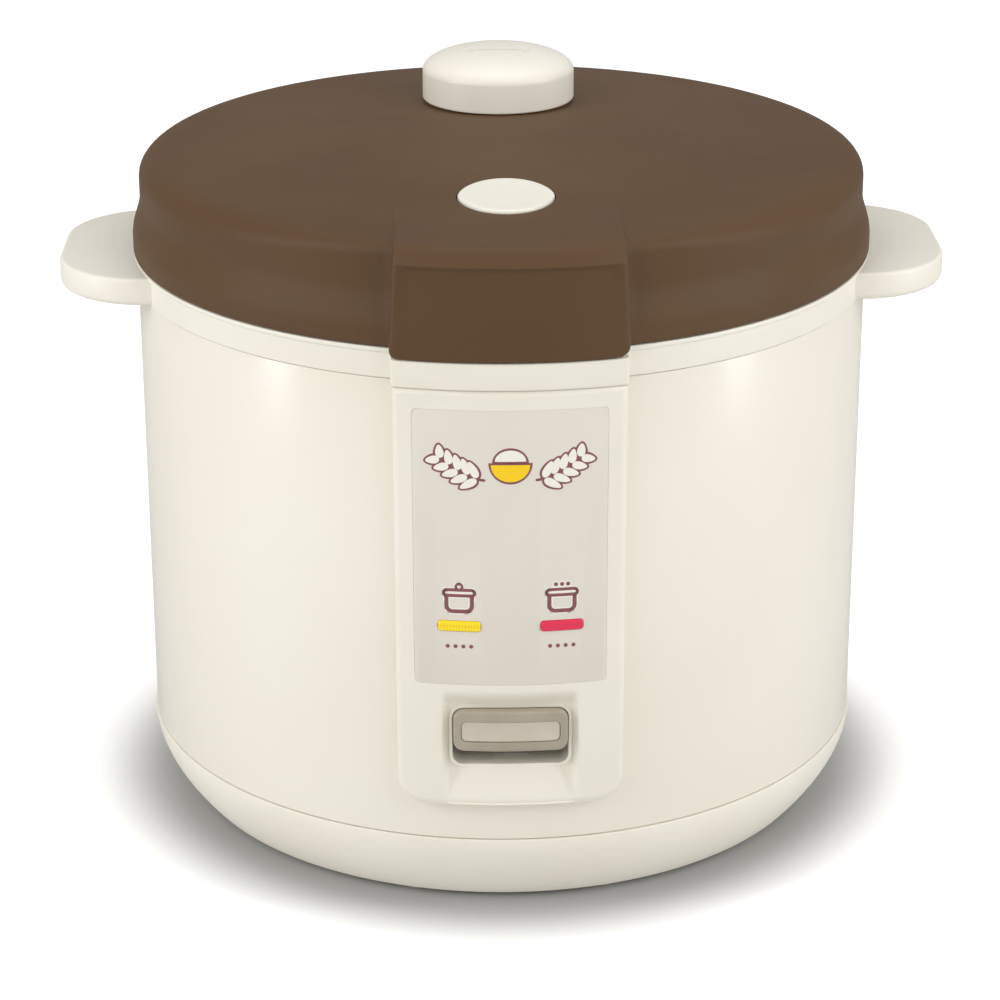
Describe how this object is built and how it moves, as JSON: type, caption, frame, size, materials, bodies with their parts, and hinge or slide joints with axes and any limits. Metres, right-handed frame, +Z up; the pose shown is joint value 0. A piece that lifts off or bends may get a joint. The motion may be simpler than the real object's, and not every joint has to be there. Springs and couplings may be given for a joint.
{
  "type": "rice cooker",
  "caption": "Round jar-type electric rice cooker with a hinged lid, steam vent cap, push-button latch, ear handles, removable pot and a cook lever.",
  "frame": {"origin": "on the table under the centre of the cooker", "axes": "+Z up, -Y towards the front with the cook key, +X to the right seen from the front"},
  "size_m": [0.314, 0.2785, 0.2631],
  "materials": {
    "coated_steel_shell": "gloss",
    "cream_plastic": "gloss",
    "label_film": "satin",
    "brown_plastic": "satin",
    "key_plastic": "satin",
    "insert_plastic": "satin",
    "warm_lens": "gloss",
    "cook_lens": "gloss",
    "aluminium": "satin",
    "pot_aluminium": "satin, coated inside",
    "steel": "satin",
    "brass": "satin",
    "silicone": "matte",
    "rubber": "matte",
    "board": "matte",
    "dark_plastic": "matte",
    "lamp_glass": "clear",
    "ceramic": "matte",
    "lead_sleeve": "matte"
  },
  "bodies": {
    "cooker_body": {"base_ring": "cream_plastic", "foot_front_left": "rubber", "foot_front_right": "rubber", "foot_rear_left": "rubber", "foot_rear_right": "rubber", "base_screw_1": "steel", "base_screw_2": "steel", "base_screw_3": "steel", "base_screw_4": "steel", "bottom_plate": "steel", "chassis_plate": "steel", "outer_shell": "coated_steel_shell", "chamber_liner": "steel", "keep_warm_band": "aluminium", "heating_plate": "aluminium", "heating_element": "steel", "thermal_fuse": "ceramic", "fuse_clip": "steel", "sensor_spring": "steel", "upper_ring": "cream_plastic", "hinge_pin": "steel", "hinge_spring": "steel", "control_panel": "cream_plastic", "panel_label": "label_film", "warm_lens": "warm_lens", "cook_lens": "cook_lens", "lamp_board": "board", "warm_lamp": "lamp_glass", "cook_lamp": "lamp_glass", "lever_bracket": "steel", "lever_pin": "steel", "lever_spring": "steel", "micro_switch": "dark_plastic", "inlet_socket": "dark_plastic", "inlet_pin_live": "brass", "inlet_pin_neutral": "brass", "lead_live": "lead_sleeve", "lead_neutral": "lead_sleeve"},
    "pot": {"inner_pot": "pot_aluminium"},
    "sensor": {"sensor_can": "aluminium", "sensor_ferrite": "ceramic"},
    "magnet_plunger": {"magnet": "ceramic", "magnet_rod": "brass"},
    "cook_lever": {"cook_lever": "steel", "cook_key": "key_plastic", "key_insert": "insert_plastic"},
    "switch_plunger": {"switch_plunger": "insert_plastic"},
    "lid": {"lid_cover": "brown_plastic", "lid_liner": "cream_plastic", "lid_gasket": "silicone", "inner_lid_plate": "aluminium", "lid_grommet": "silicone", "vent_tube": "silicone", "latch_pin": "steel", "latch_spring": "steel"},
    "vent_cap": {"vent_cap": "cream_plastic", "vent_cup": "silicone"},
    "release_button": {"release_button": "cream_plastic"},
    "latch_hook": {"latch_hook": "key_plastic"}
  },
  "joints": [
    {"name": "lid_hinge", "type": "hinge", "parent": "cooker_body", "child": "lid", "pos_m": [0, 0.137, 0.2095], "axis": [-1, 0, 0], "range_deg": [0, 90]},
    {"name": "vent_cap_lift", "type": "slide", "parent": "lid", "child": "vent_cap", "axis": [0, 0, 1], "range_m": [0, 0.03]},
    {"name": "button_press", "type": "slide", "parent": "lid", "child": "release_button", "axis": [0, 0, -1], "range_m": [0, 0.003], "stiffness_N_per_m": 600, "springref_m": -0.0005},
    {"name": "latch_turn", "type": "hinge", "parent": "lid", "child": "latch_hook", "pos_m": [0, -0.1225, 0.222], "axis": [-1, 0, 0], "range_deg": [0, 4.2], "deforming": ["latch_spring"]},
    {"name": "cook_key_press", "type": "hinge", "parent": "cooker_body", "child": "cook_lever", "pos_m": [0, -0.061, 0.029], "axis": [1, 0, 0], "range_deg": [0, 4], "stiffness_Nm_per_rad": 3, "springref_deg": -1.15, "deforming": ["lever_spring"]},
    {"name": "magnet_lift", "type": "slide", "parent": "cooker_body", "child": "magnet_plunger", "axis": [0, 0, 1], "range_m": [0, 0.0044]},
    {"name": "switch_plunger_slide", "type": "slide", "parent": "cooker_body", "child": "switch_plunger", "axis": [0, 0, -1], "range_m": [0, 0.0012]},
    {"name": "sensor_press", "type": "slide", "parent": "cooker_body", "child": "sensor", "axis": [0, 0, -1], "range_m": [0, 0.002], "stiffness_N_per_m": 400, "springref_m": -0.003, "deforming": ["sensor_spring"]},
    {"name": "pot_turn", "type": "hinge", "parent": "cooker_body", "child": "pot", "pos_m": [0, 0, 0.0673], "axis": [0, 0, 1], "continuous": true}
  ],
  "couplings": [
    {"joint": "latch_turn", "follows": "button_press", "rad_per_m": 22.99},
    {"joint": "magnet_lift", "follows": "cook_key_press", "m_per_rad": 0.061},
    {"joint": "switch_plunger_slide", "follows": "cook_key_press", "m_per_rad": 0.0162}
  ]
}
